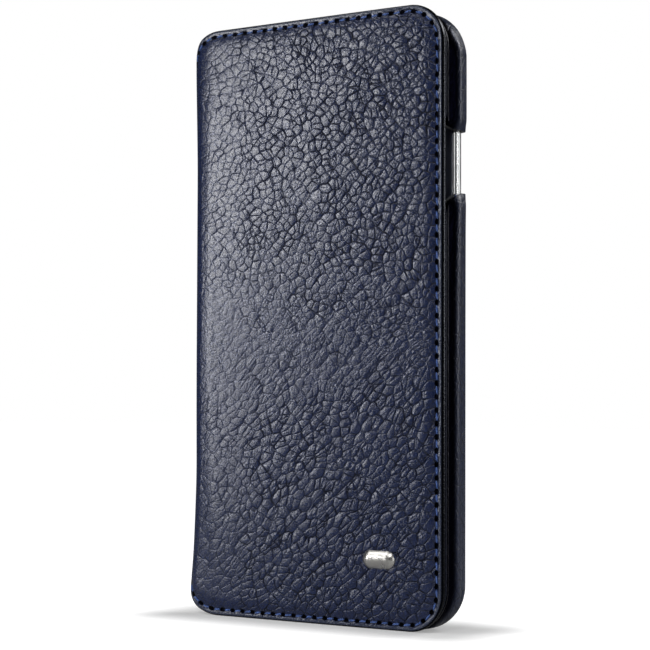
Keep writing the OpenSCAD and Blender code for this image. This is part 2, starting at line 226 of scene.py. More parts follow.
def bend_flap(s, o, z):
    """Point of the flap at developed length s, o below its outer face, at height z."""
    x, d, a = along(s)
    return Vector((x + o * math.sin(a) - slack(s, z), Y_FRONT + d + o * math.cos(a), z))


def front_run(s):
    """Distance of the flap's length s from its free edge, as the front view shows it."""
    return X_RIGHT - along(min(s, S_SPINE))[0]


def from_front(f):
    """Developed length at the distance f in the front view."""
    return f if f <= S_ROLL else S_ROLL + ROLL_R * math.asin(min(1.0, (f - S_ROLL) / ROLL_R))


def flap_drop(s):
    """How far the outline has drawn in from the flap's full height at length s."""
    if s > S_SPINE:
        return CORNER_R + corner_drop(max(0.0, s - S_END + TAB_R), TAB_R)
    f = front_run(s)
    return corner_drop(max(0.0, CORNER_R - f, f - FLAP_W + CORNER_R), CORNER_R)


def flap_edge(s, z):
    """Distance of a point of the flap from the flap's outline."""
    q = max(z, HEIGHT - z) - HEIGHT + CORNER_R
    if s >= S_SPINE:
        return min(-q, S_END - s)
    f = front_run(s)
    u = max(CORNER_R - f, f - FLAP_W + CORNER_R)
    if u > 0 and q > 0:
        return CORNER_R - math.hypot(u, q)
    return min(f, CORNER_R - q)


# The seam along the flap's outline, which ends partway round the corners of the roll

SEAM_R = CORNER_R - STITCH_IN
SEAM_END = math.radians(78)
SEAM_SIDES = [SEAM_R * SEAM_END, FLAP_W - 2 * CORNER_R, SEAM_R * math.pi / 2, HEIGHT - 2 * CORNER_R,
              SEAM_R * math.pi / 2, FLAP_W - 2 * CORNER_R, SEAM_R * SEAM_END]
SEAM_STARTS = [sum(SEAM_SIDES[:i]) for i in range(len(SEAM_SIDES))]
SEAM_LEN = sum(SEAM_SIDES)
SEAM_COUNT = round(SEAM_LEN / STITCH_PITCH)
SEAM_PITCH = SEAM_LEN / SEAM_COUNT


def seam_point(run):
    """Developed length and height of the seam, run along it from the lower corner of the spine."""
    i = max(k for k, start in enumerate(SEAM_STARTS) if run >= start - 1e-9)
    t = run - SEAM_STARTS[i]
    a = t / SEAM_R
    far, top = FLAP_W - CORNER_R, HEIGHT - CORNER_R
    if i == 0:
        a = SEAM_END - a
        return from_front(far + SEAM_R * math.sin(a)), CORNER_R - SEAM_R * math.cos(a)
    if i == 1:
        return far - t, STITCH_IN
    if i == 2:
        return CORNER_R - SEAM_R * math.sin(a), CORNER_R - SEAM_R * math.cos(a)
    if i == 3:
        return STITCH_IN, CORNER_R + t
    if i == 4:
        return CORNER_R - SEAM_R * math.cos(a), top + SEAM_R * math.sin(a)
    if i == 5:
        return CORNER_R + t, HEIGHT - STITCH_IN
    return from_front(far + SEAM_R * math.sin(a)), top + SEAM_R * math.cos(a)


def seam_run(s, z):
    """Where along the seam a point of the flap lies."""
    f = front_run(s)
    far, top = FLAP_W - CORNER_R, HEIGHT - CORNER_R
    if f > far and z < CORNER_R:
        return SEAM_STARTS[0] + SEAM_R * (SEAM_END - math.atan2(f - far, CORNER_R - z))
    if f < CORNER_R and z < CORNER_R:
        return SEAM_STARTS[2] + SEAM_R * math.atan2(CORNER_R - f, CORNER_R - z)
    if f < CORNER_R and z > top:
        return SEAM_STARTS[4] + SEAM_R * math.atan2(z - top, CORNER_R - f)
    if f > far and z > top:
        return SEAM_STARTS[6] + SEAM_R * math.atan2(f - far, z - top)
    nearest = min(z, f, HEIGHT - z)
    if nearest == z:
        return SEAM_STARTS[1] + far - f
    if nearest == f:
        return SEAM_STARTS[3] + z - CORNER_R
    return SEAM_STARTS[5] + f - CORNER_R


# Meshes

# Length of pattern that one unit of a sheet's UV map stands for
FLAT_SPAN = 100.0


def spread(a, b, step):
    """Even values from a to b, at most a step apart."""
    n = max(1, math.ceil((b - a) / step - 1e-9))
    return [a + (b - a) * i / n for i in range(n + 1)]


def steps(*parts):
    """One rising list out of several, without values closer than a hundredth."""
    out = []
    for x in sorted(x for part in parts for x in part):
        if not out or x - out[-1] > 0.01:
            out.append(x)
    return out


def even(n):
    """Shares along a side in n even steps, without the last."""
    return [i / n for i in range(n)]


def rows(insets, middle):
    """Rows of a sheet as (share of the way up, distance from the outline)."""
    k = insets[-1]
    return ([(0.0, i) for i in insets] + [(i / middle, k) for i in range(1, middle)]
            + [(1.0, i) for i in reversed(insets)])


def sheet(us, vs, place, outer, inner, bend, values=None):
    """A thick sheet: a grid laid out flat by place, thickened between two depths, then bent."""
    bm = bmesh.new()
    flat = bm.loops.layers.uv.new("flat")
    layers = {n: bm.verts.layers.float.new(n) for n in (values or {})}
    nu, nv = len(us) - 1, len(vs) - 1
    bmesh.ops.create_grid(bm, x_segments=nu, y_segments=nv, size=0.5)
    for v in bm.verts:
        p = place(us[round((v.co.x + 0.5) * nu)], vs[round((v.co.y + 0.5) * nv)])
        v.co = (p[0], 0, p[1])
    made = bmesh.ops.extrude_face_region(bm, geom=bm.faces[:], use_keep_orig=True)
    below = {v for v in made["geom"] if isinstance(v, bmesh.types.BMVert)}
    for face in bm.faces:
        for loop in face.loops:
            loop[flat].uv = (-loop.vert.co.x / FLAT_SPAN, loop.vert.co.z / FLAT_SPAN)
    for v in bm.verts:
        s, z = v.co.x, v.co.z
        for n, layer in layers.items():
            v[layer] = values[n](s, z)
        v.co = bend(s, (inner if v in below else outer)(s, z), z)
    bmesh.ops.recalc_face_normals(bm, faces=bm.faces)
    return bm


def outline_point(column, x0, x1, z0, z1, r):
    """Point of an outline: on side 0 to 3 at a share of its length, or in a corner at an angle."""
    kind, i, t = column
    if kind == "turn":
        a = math.radians(90 * i + t)
        return ((x1 - r if i in (0, 3) else x0 + r) + r * math.cos(a),
                (z1 - r if i in (0, 1) else z0 + r) + r * math.sin(a))
    w, h = x1 - x0 - 2 * r, z1 - z0 - 2 * r
    return [(x1, z0 + r + t * h), (x1 - r - t * w, z1), (x0, z1 - r - t * h), (x0 + r + t * w, z0)][i]


def columns(sides, turn):
    """Columns round an outline, with the given shares along each side and turn steps in each corner."""
    out = []
    for i in range(4):
        out += [("side", i, t) for t in sides[i] if t < 1]
        out += [("turn", i, 90 * k / turn) for k in range(turn)]
    return out


def ring(outline, inset, d):
    """One ring of a wound body: an outline drawn in by inset, at the depth d."""
    x0, x1, z0, z1, r = outline
    return x0 + inset, x1 - inset, z0 + inset, z1 - inset, r - inset, d


def rounded_edge(outline, inset, d, rise, middle):
    """Three rings round an edge, from its side at d + rise to its face at d, one of them between."""
    return [ring(outline, 0.0, d + rise), ring(outline, middle * inset, d + middle * rise),
            ring(outline, inset, d)]


def wrap(cols, rings, axes=None, closed=False):
    """A body wound round an outline: one row of the grid for each ring, welded and capped."""
    bm = bmesh.new()
    n, m = len(cols), len(rings) - (0 if closed else 1)
    bmesh.ops.create_grid(bm, x_segments=n, y_segments=m, size=0.5)
    for v in bm.verts:
        *outline, d = rings[round((v.co.y + 0.5) * m) % len(rings)]
        x, z = outline_point(cols[round((v.co.x + 0.5) * n) % n], *outline)
        v.co = axes(x, d, z) if axes else (x, Y_FRONT + d, z)
    bmesh.ops.remove_doubles(bm, verts=bm.verts, dist=0.0005)
    if not closed:
        bmesh.ops.holes_fill(bm, edges=[e for e in bm.edges if e.is_boundary], sides=0)
    bmesh.ops.recalc_face_normals(bm, faces=bm.faces)
    return bm


def to_object(name, bm):
    """An object at the origin, made from a finished bmesh."""
    mesh = bpy.data.meshes.new(name)
    bm.to_mesh(mesh)
    bm.free()
    made = bpy.data.objects.new(name, mesh)
    bpy.context.scene.collection.objects.link(made)
    return made


def cut(body, *tools):
    """Takes the tools out of the body and removes them."""
    for tool in tools:
        m = body.modifiers.new("cut", "BOOLEAN")
        m.operation, m.solver, m.object = "DIFFERENCE", "EXACT", tool
    bpy.context.view_layer.update()
    mesh = bpy.data.meshes.new_from_object(body.evaluated_get(bpy.context.evaluated_depsgraph_get()))
    body.modifiers.clear()
    body.data = mesh
    for tool in tools:
        bpy.data.objects.remove(tool)
    return body


def dress(piece, finish, sharp=40):
    """Scales a finished mesh to metres, smooths it and gives it its material."""
    mesh = piece.data
    mesh.transform(Matrix.Scale(MM, 4))
    mesh.materials.clear()
    mesh.materials.append(finish)
    mesh.shade_smooth()
    mesh.set_sharp_from_angle(angle=math.radians(sharp))
    return piece


# Shader nodes

def feed(tree, node, inputs):
    """Links sockets to the inputs of a node, and sets plain values on them."""
    for key, value in inputs.items():
        if isinstance(value, bpy.types.NodeSocket):
            tree.links.new(value, node.inputs[key])
        else:
            node.inputs[key].default_value = value


def wire(tree, kind, inputs=None, **settings):
    """A shader node with its settings and inputs."""
    made = tree.nodes.new("ShaderNode" + kind)
    for key, value in settings.items():
        setattr(made, key, value)
    feed(tree, made, inputs or {})
    return made


def math_node(tree, operation, a, b=0.0, clamp=False):
    return wire(tree, "Math", {0: a, 1: b}, operation=operation, use_clamp=clamp).outputs[0]


def chain(tree, operation, values):
    """Several values joined by one operation."""
    out = values[0]
    for value in values[1:]:
        out = math_node(tree, operation, out, value)
    return out


def product(tree, *factors):
    return chain(tree, "MULTIPLY", factors)


def total(tree, *terms):
    return chain(tree, "ADD", terms)


def highest(tree, *values):
    return chain(tree, "MAXIMUM", values)


def less(tree, a, b, clamp=False):
    return math_node(tree, "SUBTRACT", a, b, clamp)


def vector_node(tree, operation, a, b=None, output=0):
    inputs = {0: a} if b is None else {0: a, "Scale" if operation == "SCALE" else 1: b}
    return wire(tree, "VectorMath", inputs, operation=operation).outputs[output]


def ramp(tree, value, low, high, to_low=0.0, to_high=1.0):
    """An even curve from to_low, where the value is low, to to_high."""
    return wire(tree, "MapRange", {0: value, 1: low, 2: high, 3: to_low, 4: to_high},
                interpolation_type="SMOOTHSTEP").outputs[0]


def blend_colours(tree, factor, a, b):
    """From colour a at factor 0 to b at 1."""
    a, b = (c if isinstance(c, bpy.types.NodeSocket) else (*c, 1) for c in (a, b))
    return wire(tree, "Mix", {0: factor, 6: a, 7: b}, data_type="RGBA").outputs[2]


def turned(tree, vector, degrees, scale):
    """A coordinate turned about the sheet's normal, then scaled along its new axes."""
    vector = wire(tree, "VectorRotate", {"Vector": vector, "Angle": math.radians(degrees)},
                  rotation_type="Z_AXIS").outputs[0]
    return vector_node(tree, "MULTIPLY", vector, scale)


def noise(tree, vector, scale, detail=2.0, rough=0.5, output="Fac"):
    return wire(tree, "TexNoise", {"Vector": vector, "Scale": scale, "Detail": detail,
                                   "Roughness": rough}).outputs[output]


def cells(tree, vector, feature, loose=1.0, space="3D"):
    """Distance from the edge between cells or from their middle. The cells lie in a regular grid at
    loose 0 and are scattered at 1."""
    return wire(tree, "TexVoronoi", {"Vector": vector, "Scale": 1.0, "Randomness": loose},
                feature=feature, voronoi_dimensions=space).outputs["Distance"]


def warped(tree, vector, scale, reach):
    """A coordinate pushed about by noise."""
    push = vector_node(tree, "SUBTRACT", noise(tree, vector, scale, output="Color"), (0.5, 0.5, 0.5))
    return vector_node(tree, "ADD", vector, vector_node(tree, "SCALE", push, reach))


def bump(tree, height, distance, strength=1.0, normal=None):
    inputs = {"Height": height, "Distance": distance, "Strength": strength}
    if normal is not None:
        inputs["Normal"] = normal
    return wire(tree, "Bump", inputs).outputs[0]


def value_of(tree, name):
    return wire(tree, "Attribute", attribute_name=name).outputs["Fac"]


def flat_place(tree):
    """The sheet's own pattern in millimetres."""
    return vector_node(tree, "SCALE", wire(tree, "UVMap", uv_map="flat").outputs[0], FLAT_SPAN)


def object_place(tree):
    """Object coordinates in millimetres."""
    return vector_node(tree, "SCALE", wire(tree, "TexCoord").outputs["Object"], 1 / MM)


# Leather grains, as node groups

CELL_SCATTER = 0.9


def new_group(name, inputs, outputs):
    tree = bpy.data.node_groups.new(name, "ShaderNodeTree")
    for label, kind in inputs:
        tree.interface.new_socket(label, in_out="INPUT", socket_type="NodeSocket" + kind)
    for label, kind in outputs:
        tree.interface.new_socket(label, in_out="OUTPUT", socket_type="NodeSocket" + kind)
    return tree, tree.nodes.new("NodeGroupInput").outputs, tree.nodes.new("NodeGroupOutput")


def place_group(tree, group, inputs):
    return wire(tree, "Group", inputs, node_tree=group).outputs


def crease_net(tree, spot, size, width, shoulder):
    """Pebbles of one size: how near a crease is, from 1 on it to 0, how far the leather has sunk beside
    it, and how far each pebble has dropped from its middle."""
    scale = math.sqrt(size[0] * size[1])
    near = product(tree, cells(tree, spot, "DISTANCE_TO_EDGE", CELL_SCATTER, "2D"), scale)
    sunk = less(tree, 1.0, math_node(tree, "DIVIDE", near, shoulder), True)
    drop = math_node(tree, "POWER", cells(tree, spot, "F1", CELL_SCATTER, "2D"), 2.0)
    return ramp(tree, near, 0.3 * width, width, 1, 0), product(tree, sunk, sunk), drop


def pebble_grain():
    """Shrunken floater grain: pebbles parted by creases that deepen and take more painted shade along two
    crossing diagonals, with longer creases, smaller cells and pores. Flow 1 draws the pebbles out. Height is
    in millimetres; Crease is the mask of the creases' painted shade."""
    tree, i, out = new_group("pebble_grain",
                             [("Place", "Vector"), ("Relief", "Float"), ("Flow", "Float")],
                             [("Height", "Float"), ("Crease", "Float"), ("Tone", "Float")])
    place, relief, flow = i["Place"], i["Relief"], i["Flow"]
    frayed = warped(tree, warped(tree, warped(tree, place, 0.035, 7.0), 0.25, 1.0), 1.5, 0.22)

    def streaks(turn, low, high):
        """Where creases along one diagonal are strong."""
        return ramp(tree, noise(tree, turned(tree, place, turn, (0.07, 0.34, 0.2)), 1.0), low, high)

    def diamonds(size):
        """Cells whose sides run along both diagonals."""
        return wire(tree, "Mapping", {"Vector": frayed, "Rotation": (0, 0, math.radians(45)),
                                      "Scale": (1 / size[0], 1 / size[1], 1)}).outputs[0]

    def slanting(turn, size):
        """Cells drawn out along one direction."""
        return turned(tree, frayed, -turn, (1 / size[0], 1 / size[1], 1))

    falling, rising = streaks(52, 0.48, 0.66), streaks(-50, 0.46, 0.64)
    strong = total(tree, 0.5, product(tree, highest(tree, falling, rising), 0.5))
    rounded = less(tree, 1.0, flow)
    small = ramp(tree, noise(tree, turned(tree, place, 90, (1, 1, 1)), 0.22), 0.38, 0.58)

    pebble, drawn, fine = (2.55, 2.2), (3.2, 2.3), (1.3, 1.15)
    steep, shallow = (10.0, 3.4), (8.5, 3.0)
    # cells, cell size, line and shoulder width, depth, rise of a pebble, line darkness (strength of its
    # painted shade), where it shows
    nets = [(diamonds(pebble), pebble, 0.26, 0.40, 0.055, 0.155, 1.0, product(tree, strong, rounded)),
            (slanting(38, drawn), drawn, 0.28, 0.40, 0.06, 0.165, 0.9, product(tree, strong, flow)),
            (slanting(-54, steep), steep, 0.32, 0.50, 0.05, 0.08, 0.9, product(tree, falling, rounded)),
            (slanting(40, shallow), shallow, 0.30, 0.50, 0.05, 0.10, 0.8, product(tree, rising, flow)),
            (slanting(20, fine), fine, 0.22, 0.30, 0.010, 0.025, 0.3, small)]
    creases, dips = [], []
    for spot, size, width, shoulder, depth, rise, dark, where in nets:
        line, valley, drop = crease_net(tree, spot, size, width, shoulder)
        creases.append(product(tree, line, where, dark))
        dip = total(tree, product(tree, valley, depth), product(tree, drop, rise))
        dips.append(product(tree, dip, where))

    pores = noise(tree, place, 1.6, 1.0, 0.6)
    lumps = noise(tree, place, 0.30)
    height = less(tree, product(tree, pores, 0.037), product(tree, total(tree, *dips), relief))
    feed(tree, out, {
        "Height": total(tree, height, product(tree, lumps, 0.03)),
        "Crease": product(tree, highest(tree, *creases), math_node(tree, "MINIMUM", relief, 1.0)),
        "Tone": total(tree, product(tree, pores, 0.85), product(tree, lumps, 0.15))})
    return tree


def fine_grain():
    """Smooth calf grain: small closed cells, pores and a soft unevenness."""
    tree, i, out = new_group("fine_grain", [("Place", "Vector")], [("Height", "Float"), ("Tone", "Float")])
    place = i["Place"]
    net = turned(tree, warped(tree, place, 0.7, 0.7), 25, (1.1, 1.5, 1.2))
    net = ramp(tree, cells(tree, net, "DISTANCE_TO_EDGE"), 0, 0.3)
    pores, soft = noise(tree, place, 3.2), noise(tree, place, 0.16)
    feed(tree, out, {
        "Height": total(tree, product(tree, net, 0.3), product(tree, pores, 0.3), product(tree, soft, 1.2)),
        "Tone": total(tree, product(tree, pores, 0.8), product(tree, soft, 0.2))})
    return tree


GRAIN = pebble_grain()
CALF = fine_grain()


# Materials

# Near black: painted shade in needle holes, and the colour of inked edges, which is edge ink and on the
# lining also painted shade
SHADE_AND_INK_BLACK = (0.001, 0.001, 0.002)


def new_material(name):
    made = bpy.data.materials.new(name)
    made.use_nodes = True
    tree = made.node_tree
    return made, tree, tree.nodes["Principled BSDF"]


def needle_holes(tree, edge, run):
    """Mask of the holes between the stitches, from the distance to the edge and the run of the seam."""
    phase = math_node(tree, "FRACT", total(tree, math_node(tree, "DIVIDE", run, SEAM_PITCH), 0.5))
    along_seam = product(tree, less(tree, phase, 0.5), SEAM_PITCH / HOLE_LEN)
    across = math_node(tree, "DIVIDE", less(tree, edge, STITCH_IN), HOLE_W)
    away = math_node(tree, "SQRT", total(tree, product(tree, along_seam, along_seam),
                                         product(tree, across, across)))
    started = math_node(tree, "GREATER_THAN", run, -0.7)
    ended = math_node(tree, "LESS_THAN", run, SEAM_LEN + 0.7)
    return product(tree, ramp(tree, away, 0.7, 1.1, 1, 0), started, ended)


def cover_leather_finish():
    """Navy floater leather of the flap: needle holes and creases painted black as painted shade, a pale strip
    along its edge as a painted highlight, and an inked edge that is partly edge ink and partly painted shade.
    """
    made, tree, shader = new_material("pebbled_navy_leather")
    place = flat_place(tree)
    uneven = product(tree, noise(tree, place, 0.05), 60.0)
    height = wire(tree, "SeparateXYZ", {0: place}).outputs[1]
    flow = ramp(tree, total(tree, height, uneven), 85.0, 125.0, 1.0, 0.0)
    grain = place_group(tree, GRAIN, {"Place": place, "Relief": value_of(tree, "relief"), "Flow": flow})
    edge = value_of(tree, "edge")
    hole = needle_holes(tree, edge, value_of(tree, "run"))
    ink_and_shade = ramp(tree, edge, 0.25, 0.5, 1.0, 0.0)
    colour = blend_colours(tree, ramp(tree, grain["Tone"], 0.35, 0.65),
                           (0.009, 0.016, 0.052), (0.017, 0.028, 0.088))
    # painted shade: the creases are coloured near black for the shade that falls in them
    colour = blend_colours(tree, grain["Crease"], colour, (0.001, 0.002, 0.010))
    # painted highlight: a paler strip between the seam and the edge, where the rounded edge catches the light
    colour = blend_colours(tree, ramp(tree, edge, 0.8, 1.5, 0.8, 0.0), colour, (0.040, 0.050, 0.084))
    # inked edge: real edge ink, and also painted shade at the flap's very edge
    colour = blend_colours(tree, ink_and_shade, colour, (0.002, 0.003, 0.006))
    # painted shade: the needle holes are coloured black for the shade inside them
    colour = blend_colours(tree, hole, colour, SHADE_AND_INK_BLACK)
    tops = ramp(tree, grain["Tone"], 0.36, 0.56, 0.32, 0.22)
    dull = ramp(tree, highest(tree, grain["Crease"], hole), 0.0, 0.7, 0.0, 0.12)
    # fine wrinkles where the sheet rolls round the spine
    lines = turned(tree, warped(tree, place, 0.15, 2.2), 8, (0.75, 0.06, 1))
    wrinkle = product(tree, noise(tree, lines, 1.0, 3.0, 0.6), value_of(tree, "roll"))
    normal = bump(tree, grain["Height"], MM)
    normal = bump(tree, wrinkle, 0.15 * MM, 0.8, normal)
    normal = bump(tree, less(tree, 1.0, hole), 0.4 * MM, 1.0, normal)
    # a dark metal gives no sheen, so the painted shade in needle holes, creases and at the inked edge stays
    # black
    pits = highest(tree, hole, ink_and_shade, product(tree, grain["Crease"], 0.6))
    feed(tree, shader, {"Base Color": colour, "Roughness": total(tree, tops, dull), "Metallic": pits,
                        "Specular IOR Level": 0.5, "Normal": normal})
    return made


def calf_finish(name, dark, light, on_sheet=True, shine=0.5):
    """Smooth leather in two tones. A sheet has an inked edge: edge ink, and on the lining also painted shade
    at its edge.
    """
    made, tree, shader = new_material(name)
    grain = place_group(tree, CALF, {"Place": flat_place(tree) if on_sheet else object_place(tree)})
    colour = blend_colours(tree, ramp(tree, grain["Tone"], 0.35, 0.65), dark, light)
    if on_sheet:
        # inked edge: edge ink, and on the lining also painted shade at its edge; a dark metal there gives no
        # sheen
        ink_and_shade = ramp(tree, value_of(tree, "edge"), 0.05, 0.3, 1, 0)
        colour = blend_colours(tree, ink_and_shade, colour, SHADE_AND_INK_BLACK)
        feed(tree, shader, {"Metallic": ink_and_shade})
    feed(tree, shader, {"Base Color": colour, "Roughness": ramp(tree, grain["Tone"], 0.3, 0.7, 0.45, 0.56),
                        "Specular IOR Level": shine, "Normal": bump(tree, grain["Height"], 0.06 * MM)})
    return made


def wall_leather_finish():
    """The same hide drawn over the holder, with a shallower grain, and painted shade in its creases and in
    the fold below the flange.
    """
    made, tree, shader = new_material("stretched_navy_leather")
    at = wire(tree, "SeparateXYZ", {0: object_place(tree)}).outputs
    place = wire(tree, "CombineXYZ", {0: total(tree, at[1], at[0]), 1: less(tree, at[2], at[0])}).outputs[0]
    grain = place_group(tree, GRAIN, {"Place": place, "Relief": 0.8, "Flow": 0.0})
    # painted shade: the lip below the flange is coloured near black, and made a dark metal without sheen, for
    # the shade that falls there
    under_flange_shade = ramp(tree, at[1], Y_FRONT + D_WALL + 1.2, Y_FRONT + D_WALL + LIP_LEN, 1, 0)
    colour = blend_colours(tree, ramp(tree, grain["Tone"], 0.35, 0.65),
                           (0.010, 0.015, 0.040), (0.020, 0.029, 0.070))
    # painted shade in the creases and under the flange
    pits = highest(tree, product(tree, grain["Crease"], 0.8), under_flange_shade)
    colour = blend_colours(tree, pits, colour, (0.002, 0.002, 0.006))
    feed(tree, shader, {"Base Color": colour, "Metallic": under_flange_shade,
                        "Roughness": ramp(tree, grain["Crease"], 0, 1, 0.30, 0.5),
                        "Specular IOR Level": 0.25, "Normal": bump(tree, grain["Height"], MM)})
    return made


def thread_finish():
    """Twisted blue thread: plies run slantwise along each stitch."""
    made, tree, shader = new_material("blue_thread")
    uv = wire(tree, "UVMap", uv_map="stitch").outputs[0]
    place = wire(tree, "Mapping", {"Vector": uv, "Scale": (2.0, 5.0, 1), "Rotation": (0, 0, 0.6)}).outputs[0]
    plies = wire(tree, "TexWave", {"Vector": place, "Scale": 1.0, "Distortion": 0.6},
                 wave_type="BANDS", bands_direction="X", wave_profile="SIN").outputs["Fac"]
    colour = blend_colours(tree, plies, (0.018, 0.055, 0.21), (0.090, 0.200, 0.62))
    feed(tree, shader, {"Base Color": colour, "Roughness": 0.55, "Sheen Weight": 0.15,
                        "Normal": bump(tree, plies, 0.06 * MM)})
    return made


def microfibre_finish():
    """Brushed microfibre with a short nap."""
    made, tree, shader = new_material("navy_microfibre")
    place = object_place(tree)
    nap = noise(tree, place, 5.5, 3.0, 0.7)
    brush = noise(tree, place, 0.11, 3.0, 0.55)
    colour = blend_colours(tree, ramp(tree, brush, 0.35, 0.65), (0.027, 0.033, 0.053), (0.034, 0.041, 0.064))
    colour = blend_colours(tree, product(tree, nap, 0.4), colour, (0.060, 0.070, 0.100))
    feed(tree, shader, {"Base Color": colour, "Roughness": 0.95, "Sheen Weight": 0.35, "Sheen Roughness": 0.5,
                        "Normal": bump(tree, nap, 0.12 * MM)})
    return made


def clear_finish():
    """Clear moulded polycarbonate with a faint moulding haze."""
    made, tree, shader = new_material("clear_polycarbonate")
    haze = noise(tree, object_place(tree), 0.25)
    feed(tree, shader, {"Base Color": blend_colours(tree, haze, (0.93, 0.95, 0.96), (0.97, 0.98, 0.98)),
                        "Roughness": ramp(tree, haze, 0.3, 0.7, 0.05, 0.14), "IOR": 1.5,
                        "Transmission Weight": 0.92, "Normal": bump(tree, haze, 0.08 * MM)})
    return made


def metal_finish(name, colour, rough_low, rough_high, scale):
    """Plated metal, slightly worn in patches."""
    made, tree, shader = new_material(name)
    worn = noise(tree, object_place(tree), scale, 3.0, 0.6)
    lighter = [min(1.0, c * 1.12) for c in colour]
    feed(tree, shader, {"Base Color": blend_colours(tree, worn, colour, lighter), "Metallic": 1.0,
                        "Roughness": ramp(tree, worn, 0.3, 0.7, rough_low, rough_high),
                        "Normal": bump(tree, worn, 0.004 * MM)})
    return made


def board_finish():
    """Grey-brown fibre board."""
    made, tree, shader = new_material("fibre_board")
    fibres = noise(tree, turned(tree, object_place(tree), 12, (0.5, 0.5, 4.0)), 1.0, 4.0, 0.65)
    feed(tree, shader, {"Base Color": blend_colours(tree, fibres, (0.19, 0.16, 0.12), (0.36, 0.31, 0.24)),
                        "Roughness": 0.9, "Normal": bump(tree, fibres, 0.05 * MM)})
    return made


COVER_LEATHER = cover_leather_finish()
WALL_LEATHER = wall_leather_finish()
# the rim is coloured darker than the other leathers and given little sheen: painted shade for the gap under
# the flap's edge
RIM_LEATHER = calf_finish("rim_navy_leather_painted_shade", (0.006, 0.008, 0.018), (0.011, 0.014, 0.028), False, 0.08)
LINING_LEATHER = calf_finish("lining_navy_leather", (0.024, 0.030, 0.056), (0.036, 0.044, 0.078))
POCKET_LEATHER = calf_finish("pocket_navy_leather", (0.028, 0.034, 0.062), (0.042, 0.050, 0.088))
THREAD = thread_finish()
MICROFIBRE = microfibre_finish()
CLEAR = clear_finish()
BRIGHT_METAL = metal_finish("polished_nickel", (0.62, 0.61, 0.58), 0.26, 0.36, 0.6)
STEEL = metal_finish("plated_steel", (0.45, 0.46, 0.48), 0.3, 0.5, 0.8)
BOARD = board_finish()


# The flap, in two sheets of grained leather, and its lining

# Distances from the outline at which a sheet has a row, closest at its rounded edge
EDGE_STEPS = [0, 0.04, 0.1, 0.18, 0.28, 0.4, 0.55, 0.85, 1.2, 1.6, 2.0, 2.4, 3.0, 3.7, 4.5, 5.5, 6.5, 8, 10]
TURN_STEPS = [CORNER_R * (1 - math.cos(math.radians(6 * i))) for i in range(16)]
ROLL_STEPS = [from_front(FLAP_W - x) for x in TURN_STEPS]


def row_height(row, drop):
    """Height of a sheet's row where the outline has drawn in by drop."""
    share, inset = row
    return (1 - share) * (drop + inset) + share * (HEIGHT - drop - inset)


def flap_place(s, row):
    return s, row_height(row, flap_drop(s))


def roll_set(s, z):
    """How far the soft roll has settled in from a true arc, most at its middle and low down."""
    low = 1 - smooth(z, *LOW_SPAN)
    t = (s - (S_ROLL + S_SPINE) / 2) / ((S_SPINE - S_ROLL) / 2 + ROLL_LEAD + LOW_LEAD * low)
    return (ROLL_SET + LOW_SET * low) * (1 - t * t) ** 2 if abs(t) < 1 else 0.0


def corner_swell(s, z):
    """Soft swelling of the leather at the lower corner of the roll."""
    return SWELL * bell(s - SWELL_AT[0], SWELL_S) * bell(z - SWELL_AT[1], SWELL_Z)


def cover_face(s, z):
    """Depth of the grained face: pressed border, groove of the seam, rounded edge and soft roll."""
    e = max(0.0, flap_edge(s, z))
    border = PRESS * (1 - smooth(e, *PRESS_SPAN)) * (1 - smooth(s, S_ROLL - 2, S_SPINE - 2))
    border *= 1 - TOP_EASE * smooth(z, *TOP_EASE_Z) * smooth(s, *TOP_EASE_S)
    groove = (GROOVE + FREE_GROOVE * (1 - smooth(s, *FREE_SPAN))) * (1 - smooth(s, S_ROLL + 2, S_SPINE - 3))
    line = groove * bell(e - STITCH_IN, GROOVE_W)
    return border + line + rounding(e, EDGE_R) + roll_set(s, z) - corner_swell(s, z)


def cover_inside(s, z):
    """Depth of the sheet's inner face: down to the lining on the cover, and the leather alone in the roll."""
    return D_LINING - (D_LINING - LEATHER_T) * smooth(s, S_ROLL - 1.4, S_ROLL + 3)


def relief(s, z):
    """How strongly the grain shows: faint along border and roll, fullest to the right and low down."""
    drawn = 1 - 0.5 * smooth(s, FLAP_W - 30, FLAP_W - 6)
    right = 0.9 * (1 - smooth(s, 5, 50))
    low = 0.6 * (1 - smooth(z, 25, 95)) * (1 - smooth(s, 40, FLAP_W - 12))
    return max(0.1, smooth(flap_edge(s, z), 0.4, 1.9) * drawn * (1 + right + low))


def roll_band(s, z):
    """Where the sheet rolls round the spine."""
    return smooth(s, S_ROLL - 5, S_ROLL + 1) * (1 - smooth(s, S_TAB - 2, S_TAB + 2))


def lining_place(s, row):
    drop = corner_drop(CORNER_R - s, CORNER_R - LINING_IN) if s < CORNER_R else flap_drop(s)
    return s, row_height(row, drop + LINING_IN)


def lining_edge(s, z):
    return max(0.0, flap_edge(s, z) - LINING_IN)


def lining_face(s, z):
    return cover_inside(s, z) + LINING_T - rounding(min(lining_edge(s, z), S_BACK - s), LINING_R)


FLAP_VALUES = {"edge": lambda s, z: max(0.0, flap_edge(s, z)),
               "run": lambda s, z: seam_run(s, z) if s < S_SPINE - 0.01 else NO_SEAM,
               "relief": relief, "roll": roll_band}


front_steps = steps(EDGE_STEPS, TURN_STEPS, ROLL_STEPS, spread(CORNER_R, S_ROLL, 2.0),
                    spread(S_ROLL, S_SPINE, 0.4), [S_SPINE, S_MID])
flap_front = to_object("flap_front", sheet(front_steps, rows(EDGE_STEPS, 58), flap_place,
                                           cover_face, cover_inside, bend_flap, FLAP_VALUES))
dress(flap_front, COVER_LEATHER)
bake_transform(flap_front)
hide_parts("cover_leather", "spine_leather")

